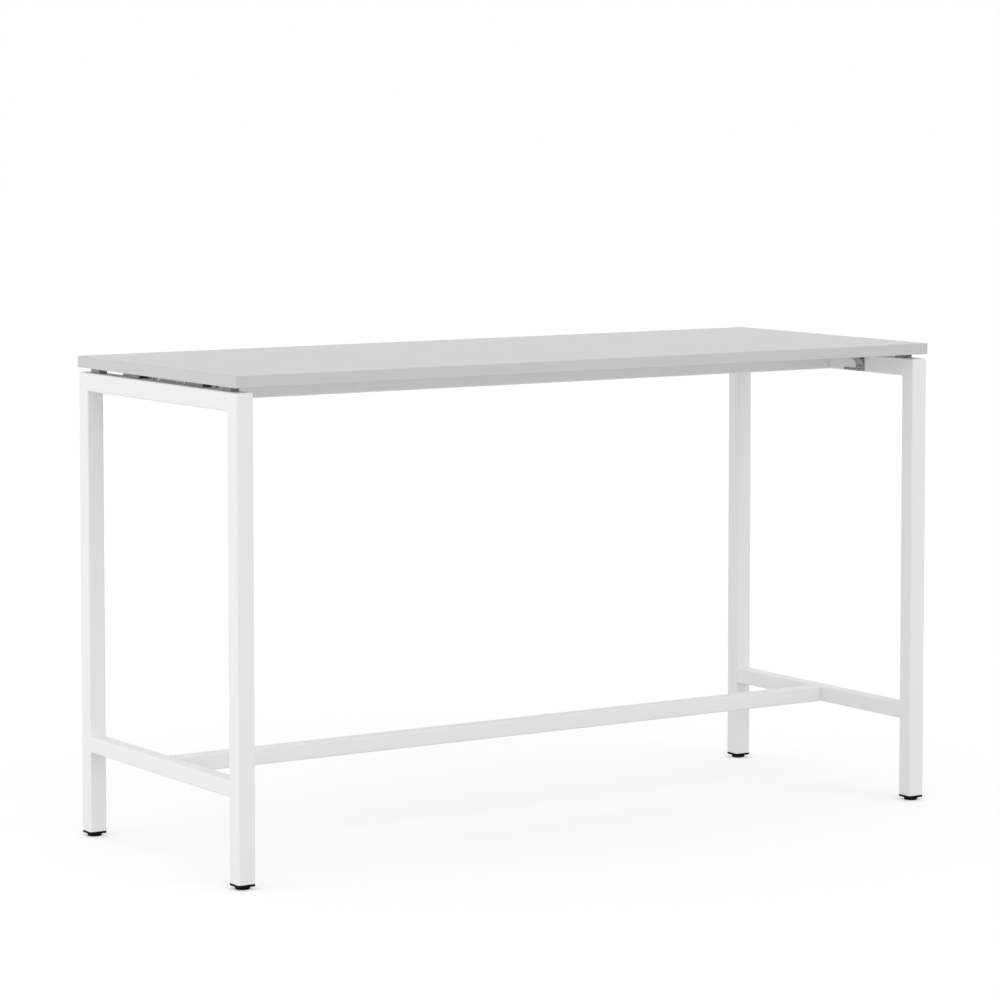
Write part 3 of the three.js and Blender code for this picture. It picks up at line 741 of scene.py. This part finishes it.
def end_plate(node, half, sizes):
    """Plate between the beam and its rail: a T in y and z, as wide as the beam below, with wings."""
    low, high = span(node)
    step = high[2] - sizes.plate_wing
    right = [(half, low[2]), (half, step), (high[1], step), (high[1], high[2])]
    left = [(-y, z) for y, z in right[::-1]]
    radii = [sizes.beam_radius, *[sizes.plate_corner] * 6, sizes.beam_radius]
    loops = soft_prism(*rounded_outline(right + left, radii), low[0], high[0], sizes.plate_edge)
    return placed(loops, ALONG_X, (0, 0, 0))


class MakeBeam(bpy.types.Operator):
    """Make the beam under the top, with a plate welded to each end and holes for the bolts"""

    bl_idname = "meeting_table.beam"
    bl_label = "Beam"

    def execute(self, context):
        sizes = context.scene.table_frame
        low, high = span("beam")
        plates = [f"beam_end_plate_{end}" for end in ENDS]
        ends = [middle(plate)[0] for plate in plates]
        loops = long_tube("beam", sizes.beam_radius, sizes.wall, ends)
        made = linked("beam_tube", *skin(loops, ring=True))
        combined(made, [skin(end_plate(plate, high[1], sizes)) for plate in plates], "UNION")
        places = []
        for side, end in CORNERS:
            bolt = middle(f"beam_bolt_{side}_{end}")
            start = low[0] if ENDS[end] > 0 else high[0]
            places.append((start + ENDS[end] * sizes.beam_hole_place, bolt[1], 0.0))
        drilled(made, sizes.beam_hole, low[2], sizes.wall, places)
        dressed(made, "white_coat", ["beam", *plates])
        repaint("zinc", *[f"beam_nut_plate_{end}" for end in ENDS])
        return {"FINISHED"}


# Spacers, brackets and screws


def block(low, high, corner, edge):
    """Box between two corners in u, v and t, with round corners in u and v and rounded edges."""
    u, v = high[0] - low[0], high[1] - low[1]
    loops = soft_prism(*rectangle(u, v, corner), low[2], high[2], edge)
    return loops + ((low[0] + high[0]) / 2, (low[1] + high[1]) / 2, 0.0)


class MakeSpacers(bpy.types.Operator):
    """Make the corner spacers"""

    bl_idname = "meeting_table.spacers"
    bl_label = "Spacers"

    def execute(self, context):
        sizes = context.scene.table_fittings
        for side, end in CORNERS:
            node = f"top_spacer_{side}_{end}"
            loops = block(*span(node), sizes.spacer_corner, sizes.spacer_edge)
            piece(f"spacer_{side}_{end}", "grey_plastic", [node], loops)
        return {"FINISHED"}


def strap_outline(near, reach, foot, cap, sizes):
    """Strap in x and z: up the rail's face, out by a double curve and up into the cap."""
    far, inner = near + sizes.sheet, reach - sizes.sheet
    bend, shoulder, top = foot + sizes.strap_foot, cap - sizes.strap_drop, cap + sizes.sheet / 2
    knee = (far, bend + sizes.strap_bend)
    hollow_knee = (near, bend + sizes.strap_bend + sizes.sheet)
    return np.concatenate(
        [
            [(near, foot), (far, foot)],
            bent((far, bend), knee, (reach, shoulder)),
            [(reach, top), (inner, top)],
            bent((inner, shoulder + sizes.sheet), hollow_knee, (near, bend)),
        ]
    )


def bracket_loops(node, rail, sizes):
    """Shapes that make up a bracket, drawn in x from the rail's axis, z, and y from its middle.

    The channel is a cap with a lip on the rail and a web behind it. A rib closes one end of it, the
    strap stands at the other, and a lip runs along the strap's foot.
    """
    low, high = span(node)
    rail_low, rail_high = span(rail)
    half, end = (rail_high[0] - rail_low[0]) / 2, (high[1] - low[1]) / 2
    lap, tip = half - sizes.bracket_lap, half - sizes.bracket_lap + high[0] - low[0]
    near, far = half + sizes.seat, half + sizes.seat + sizes.sheet
    cap, foot = high[2] - sizes.sheet, low[2]
    lip, web = rail_high[2] + sizes.seat, rail_high[2] - sizes.web_drop
    channel = [(lap, lip), (lap + sizes.sheet, lip), (lap + sizes.sheet, cap), (near, cap), (near, web)]
    channel += [(far, web), (far, cap), (tip, cap), (tip, high[2]), (lap, high[2])]
    edge, inside = sizes.bracket_edge, sizes.seat
    strap = strap_outline(near, half + sizes.strap_reach, foot, cap, sizes)
    start = end - sizes.strap_length
    ledge_low = (near + inside, foot + inside, -end)
    ledge_high = (far - inside, foot + sizes.lip_height, end)
    rib_low = (near + inside, web + inside, inside - end)
    rib_high = (half + sizes.rib_reach, cap + inside, sizes.sheet - end)
    return (
        soft_prism(*rounded_outline(channel, edge), -end, end, edge),
        soft_prism(*drawn_outline(strap), start, end - inside, edge),
        block(ledge_low, ledge_high, edge, edge),
        block(rib_low, rib_high, edge, edge),
    )


# Radius of a slot's round ends over half its width: under 1, to keep its corners apart
FULL_ROUND = 0.999


class MakeBrackets(bpy.types.Operator):
    """Make the brackets that hold the top to the rails"""

    bl_idname = "meeting_table.brackets"
    bl_label = "Brackets"

    def execute(self, context):
        sizes = context.scene.table_fittings
        for side, end in CORNERS:
            node, rail = f"top_bracket_{side}_{end}", f"top_rail_{end}"
            inwards = ENDS[end]
            along = np.array([[inwards, 0.0, 0], [0, 0, 1], [0, inwards, 0]])
            origin = (middle(rail)[0], middle(node)[1], 0)
            channel, *rest = bracket_loops(node, rail, sizes)
            made = linked(f"bracket_{side}_{end}", *skin(placed(channel, along, origin)))
            shapes = [skin(placed(loops, along, origin)) for loops in rest]
            shapes.append(skin(self.boss(node, f"bracket_top_screw_{side}_{end}", sizes)))
            combined(made, shapes, "UNION")
            combined(made, [skin(self.slot(node, f"bracket_rail_screw_{side}_{end}", sizes))], "DIFFERENCE")
            dressed(made, "cast_grey", [node])
        return {"FINISHED"}

    def boss(self, node, screw, sizes):
        """Round boss under the cap, about the top screw."""
        top = span(node)[1][2] - sizes.sheet / 2
        bottom = span(node)[1][2] - sizes.sheet - sizes.boss_height
        inset, rise = edge_round(sizes.bracket_edge)
        radius = sizes.boss / 2
        loops = polar([*(radius + inset), radius], [*(bottom + rise), top])
        return placed(loops, UP, middle(screw) * (1, 1, 0))

    def slot(self, node, screw, sizes):
        """Upright slot through the strap's foot, about the rail screw."""
        outline = rectangle(sizes.slot_width, sizes.slot_length, FULL_ROUND * sizes.slot_width / 2)
        reach = 2 * sizes.sheet
        loops = carried(*outline, [0.0, 0.0], [-reach, reach])
        x, y, _ = middle(screw)
        return placed(loops, ALONG_X, (x, y, span(node)[0][2] + sizes.strap_foot / 2))


# Shape of a round head: shares of its radius across, and of its height down from the top
CROSS_REACH = 0.62
CROSS_ARM = 0.28
SOCKET_REACH = 0.4
RECESS_FLOOR = (0.8, 0.75)
RECESS_FOOT = (0.94, 0.7)
RIM_START = 0.72
RIM_END = 0.97
SIDE_START = 0.06
SIDE_END = 0.96

# Shape of a bolt's head and of a screw's tip, over half the width across flats and the shank's radius
BOLT_CIRCLE = 0.94
BOLT_CHAMFER = math.radians(30)
SHARP_TIP = 0.1
SHARP_LENGTH = 2.0
BLUNT_TIP = 0.6
BLUNT_LENGTH = 1 / 3


def turned(rows):
    """Loops about t from rows of a radius and a level, each one number or one for every angle."""
    spread = np.array([[np.broadcast_to(value, SCREW_POINTS) for value in row] for row in rows])
    return polar(spread[:, 0], spread[:, 1])


def screw_head(radius, height, drive, dome):
    """Round head with a recess for the driver, from its top at level 0 to its seat.

    The top's level is the dome's height times the square of the radius over the head's. The recess is
    a cross or a hexagon: its radius depends on the angle.
    """
    angle = turns(SCREW_POINTS)
    if drive == "cross":
        shape = cross_share(angle, CROSS_ARM) * CROSS_REACH
    else:
        shape = hexagon_share(angle) * SOCKET_REACH
    recess = [(shape * narrow, deep * height) for narrow, deep in (RECESS_FLOOR, RECESS_FOOT)]
    top = [(share, dome * share**2) for share in (shape, *np.linspace(RIM_START, RIM_END, EDGE_STEPS))]
    side = [(1.0, dome + SIDE_START * height), (1.0, SIDE_END * height), (RIM_END, height)]
    return turned([(share * radius, level) for share, level in recess + top + side])


def bolt_head(flats, height):
    """Hexagon head from its top at level 0: the top is a circle, and the corners fall away from it by
    the chamfer's slope times how far the hexagon stands out past the circle."""
    circle = BOLT_CIRCLE * flats / 2
    corner = hexagon_share(turns(SCREW_POINTS)) * flats / 2
    fall = (corner - circle) * math.tan(BOLT_CHAMFER)
    return turned([(circle, 0.0), (corner, fall), (corner, height)])


def screw(head, sort, tip, pitch, share):
    """Head, threaded shank and a tip that narrows over the point's length."""
    narrow, point = (SHARP_TIP, SHARP_LENGTH) if sort.pointed else (BLUNT_TIP, BLUNT_LENGTH)
    end = tip - point * sort.radius
    shank = threaded(sort.radius, pitch * share, pitch, sort.head, end)
    return np.concatenate([head, shank, polar([narrow * sort.radius], [tip])])


class Screw(NamedTuple):
    """One kind of screw: its piece's name, the shank's radius, and the head's height, dome and drive"""

    piece: str
    radius: float
    head: float
    dome: float = 0.0
    drive: str = "socket"
    pointed: bool = False
    facing_in: bool = False


SCREWS = {
    "spacer_screw": Screw(
        "board_screw", radius=0.0025, head=0.003, dome=0.0015, drive="cross", pointed=True
    ),
    "bracket_top_screw": Screw("cap_screw", radius=0.004, head=0.008, dome=0.0004),
    "bracket_rail_screw": Screw(
        "strap_screw", radius=0.002, head=0.0026, dome=0.0013, drive="cross", facing_in=True
    ),
    "beam_bolt": Screw("beam_end_bolt", radius=0.003, head=0.004, drive="hexagon", facing_in=True),
    "stretcher_screw": Screw("stub_screw", radius=0.003, head=0.003, dome=0.0015),
}


class MakeScrews(bpy.types.Operator):
    """Make the screws and bolts"""

    bl_idname = "meeting_table.screws"
    bl_label = "Screws"

    def execute(self, context):
        sizes = context.scene.table_fittings
        for kind, sort in SCREWS.items():
            places = [f"{side}_{end}" for side, end in CORNERS]
            for place in ENDS if kind == "stretcher_screw" else places:
                node = f"{kind}_{place}"
                loops = self.loops(node, sort, place.split("_")[-1], sizes)
                piece(f"{sort.piece}_{place}", "zinc", [node], loops)
        return {"FINISHED"}

    def loops(self, node, sort, end, sizes):
        """Screw with its tip up, or pointing out along the table from inside it."""
        low, high = span(node)
        origin = (low + high) / 2
        if sort.facing_in:
            axes, tip, width = OUTWARDS[end], high[0] - low[0], high[1] - low[1]
            origin[0] = high[0] if ENDS[end] > 0 else low[0]
        else:
            axes, tip, width = UP, high[2] - low[2], high[0] - low[0]
            origin[2] = low[2]
        if sort.drive == "hexagon":
            head = bolt_head(width, sort.head)
        else:
            head = screw_head(width / 2, sort.head, sort.drive, sort.dome)
        pitch = sizes.wood_pitch if sort.pointed else sizes.metal_pitch
        return placed(screw(head, sort, tip, pitch, sizes.thread_share), axes, origin)


# Feet

BARBS = 4


def insert_ring(low, high, corner, sizes):
    """Insert as a ring of loops: out under the flange, up its side, in to the plug and up its barbs, in
    to the bore, down it and out to the recess. A loop is a rounded square or a circle; a circle's
    points lie at the angles of the square's."""
    width = high[0] - low[0]
    outline, normal = rectangle(width, width, corner)
    angle = np.arctan2(outline[:, 1], outline[:, 0])
    ring = np.stack([np.cos(angle), np.sin(angle)], 1)
    inset, rise = edge_round(sizes.flange_edge)
    bottom, flange, top = low[2], low[2] + sizes.flange, high[2]
    height = np.linspace(flange, top, BARBS * CURVE_STEPS + 1)
    wave = (height - flange) / (top - flange) * BARBS % 1.0
    plug = -sizes.plug_gap - sizes.barb * wave
    offsets = np.concatenate([inset, [0.0], plug])
    levels = np.concatenate([bottom + rise, [flange], height])
    outside = carried(outline, normal, offsets, levels)
    ceiling = bottom + sizes.recess_height
    radii = np.array([sizes.socket, sizes.socket, sizes.recess, sizes.recess])
    inside = carried(0 * ring, ring, radii, [top, ceiling, ceiling, bottom])
    return np.concatenate([outside, inside])


def stem_loops(low, high, pad_top, sizes):
    """Plain end in the pad, hexagon collar and threaded rod."""
    radius, chamfer = sizes.stem, sizes.stem_tip
    under = pad_top + sizes.collar_gap
    over = under + sizes.collar_height
    corner = hexagon_share(turns(SCREW_POINTS)) * sizes.collar / 2
    start = polar([radius - chamfer, radius, radius], [low[2], low[2] + chamfer, under])
    collar = polar(np.stack([corner, corner]), [under, over])
    rod = threaded(radius, sizes.thread_depth, sizes.thread_pitch, over, high[2] - chamfer)
    end = polar([radius - chamfer], [high[2]])
    return np.concatenate([start, collar, rod, end])


def pad_loops(low, high, sizes):
    """Disc with soft edges and a blind socket: from the socket's floor up its wall, out over the top,
    down the side and in to the middle of the bottom."""
    radius = (high[0] - low[0]) / 2
    inset, rise = edge_round(sizes.pad_edge)
    floor = low[2] + sizes.socket_floor
    reach = np.concatenate([[sizes.socket, sizes.socket], radius + inset, radius + inset[::-1]])
    levels = np.concatenate([[floor, high[2]], high[2] - rise, low[2] + rise[::-1]])
    return polar(reach, levels, ROUND_POINTS)


class MakeFeet(bpy.types.Operator):
    """Make the levelling feet: inserts, stems and pads"""

    bl_idname = "meeting_table.feet"
    bl_label = "Feet"

    def execute(self, context):
        sizes = context.scene.table_feet
        corner = context.scene.table_frame.frame_radius
        for side, end in CORNERS:
            at = f"{side}_{end}"
            insert, stem, pad = f"foot_insert_{at}", f"foot_stem_{at}", f"foot_pad_{at}"
            place = middle(pad) * (1, 1, 0)
            loops = placed(insert_ring(*span(insert), corner, sizes), UP, place)
            piece(f"insert_{at}", "black_plastic", [insert], loops, ring=True)
            loops = placed(stem_loops(*span(stem), span(pad)[1][2], sizes), UP, place)
            piece(f"stem_{at}", "zinc", [stem], loops, body=f"stem_{at}")
            loops = placed(pad_loops(*span(pad), sizes), UP, place)
            piece(f"pad_{at}", "black_plastic", [pad], loops, body=f"pad_{at}")
        return {"FINISHED"}


# Stage

WHITE = (1.0, 1.0, 1.0, 1.0)


def seen_rays(tree):
    """1 for rays from the camera and for mirrored and transmitted ones, 0 for the rest."""
    path = tree.nodes.new("ShaderNodeLightPath")
    total = path.outputs["Is Camera Ray"]
    for name in ("Is Glossy Ray", "Is Transmission Ray"):
        either = tree.nodes.new("ShaderNodeMath")
        either.operation = "MAXIMUM"
        tree.links.new(total, either.inputs[0])
        tree.links.new(path.outputs[name], either.inputs[1])
        total = either.outputs[0]
    return total


class MakeStage(bpy.types.Operator):
    """Make the floor, the light and the camera"""

    bl_idname = "meeting_table.stage"
    bl_label = "Stage"

    def execute(self, context):
        sizes = context.scene.table_stage
        context.scene.view_settings.view_transform = "Standard"
        self.floor(sizes)
        self.sky(context.scene, sizes)
        self.lights(context.scene, sizes)
        self.camera(context.scene, sizes)
        return {"FINISHED"}

    def floor(self, sizes):
        """Flat disc, lit as plain paint, with a lift where it is seen that brings it to white."""
        edge = polar([sizes.floor_size], [-sizes.floor_drop], ROUND_POINTS)[0]
        made = linked("floor", edge, [list(range(ROUND_POINTS))])
        material = bpy.data.materials.new("floor_paint")
        material.use_nodes = True
        tree = material.node_tree
        paint = tree.nodes["Principled BSDF"]
        paint.inputs["Base Color"].default_value = (*sizes.floor_colour, 1.0)
        paint.inputs["Roughness"].default_value = 0.9
        paint.inputs["Specular IOR Level"].default_value = 0.0
        lift = tree.nodes.new("ShaderNodeMath")
        lift.operation = "MULTIPLY"
        lift.inputs[1].default_value = sizes.floor_lift
        tree.links.new(seen_rays(tree), lift.inputs[0])
        paint.inputs["Emission Color"].default_value = WHITE
        tree.links.new(lift.outputs[0], paint.inputs["Emission Strength"])
        made.data.materials.append(material)

    def sky(self, scene, sizes):
        """Even light from all round, seen as white."""
        world = bpy.data.worlds.new("studio")
        world.use_nodes = True
        tree = world.node_tree
        light = tree.nodes["Background"]
        light.inputs["Color"].default_value = WHITE
        light.inputs["Strength"].default_value = sizes.sky
        white = tree.nodes.new("ShaderNodeBackground")
        white.inputs["Color"].default_value = WHITE
        either = tree.nodes.new("ShaderNodeMixShader")
        tree.links.new(seen_rays(tree), either.inputs["Fac"])
        tree.links.new(light.outputs[0], either.inputs[1])
        tree.links.new(white.outputs[0], either.inputs[2])
        tree.links.new(either.outputs[0], tree.nodes["World Output"].inputs["Surface"])
        scene.world = world

    def lights(self, scene, sizes):
        """Soft light from the front, tilted from upright, and a panel on the left that faces the table."""
        sun = bpy.data.lights.new("front_light", "SUN")
        sun.energy = sizes.front
        sun.angle = sizes.softness
        self.lamp(scene, sun, (0.0, 0.0, 0.0), (sizes.front_tilt, 0.0, sizes.front_turn))
        panel = bpy.data.lights.new("panel_light", "AREA")
        panel.energy = sizes.panel
        panel.size = sizes.panel_size
        self.lamp(scene, panel, sizes.panel_place, (math.pi / 2, 0.0, -math.pi / 2))

    def lamp(self, scene, light, place, turn):
        """Lamp that lights the table and is neither seen nor mirrored."""
        made = bpy.data.objects.new(light.name, light)
        made.location = place
        made.rotation_euler = turn
        made.visible_camera = False
        made.visible_glossy = False
        scene.collection.objects.link(made)

    def camera(self, scene, sizes):
        """Camera turned by its yaw about the vertical and tilted down by its pitch."""
        lens = bpy.data.cameras.new("camera")
        lens.lens = sizes.lens
        lens.shift_y = sizes.shift
        made = bpy.data.objects.new("camera", lens)
        turn = Matrix.Rotation(-sizes.camera_yaw, 4, "Z")
        tilt = Matrix.Rotation(math.pi / 2 - sizes.camera_pitch, 4, "X")
        made.matrix_world = Matrix.Translation(sizes.camera_place) @ turn @ tilt
        scene.collection.objects.link(made)
        scene.camera = made


GROUPS = {
    "table_top": TopSettings,
    "table_frame": FrameSettings,
    "table_fittings": FittingSettings,
    "table_feet": FootSettings,
    "table_finishes": FinishSettings,
    "table_stage": StageSettings,
}
MAKERS = (
    MakeFinishes,
    MakeTop,
    MakeEndFrames,
    MakeBars,
    MakeBeam,
    MakeSpacers,
    MakeBrackets,
    MakeScrews,
    MakeFeet,
    MakeStage,
)


class TablePanel(bpy.types.Panel):
    """Lists the table's settings and the operators that make its pieces"""

    bl_idname = "VIEW3D_PT_meeting_table"
    bl_label = "Meeting table"
    bl_space_type = "VIEW_3D"
    bl_region_type = "UI"
    bl_category = "Table"

    def draw(self, context):
        for group, settings in GROUPS.items():
            box = self.layout.box()
            for name in settings.__annotations__:
                box.prop(getattr(context.scene, group), name)
        for maker in MAKERS:
            self.layout.operator(maker.bl_idname)


def register():
    for group, settings in GROUPS.items():
        bpy.utils.register_class(settings)
        setattr(bpy.types.Scene, group, PointerProperty(type=settings))
    for maker in (*MAKERS, TablePanel):
        bpy.utils.register_class(maker)


def unregister():
    for maker in (TablePanel, *reversed(MAKERS)):
        bpy.utils.unregister_class(maker)
    for group, settings in GROUPS.items():
        delattr(bpy.types.Scene, group)
        bpy.utils.unregister_class(settings)


def main():
    register()
    for maker in MAKERS:
        family, name = maker.bl_idname.split(".")
        getattr(getattr(bpy.ops, family), name)()


if __name__ == "__main__":
    main()
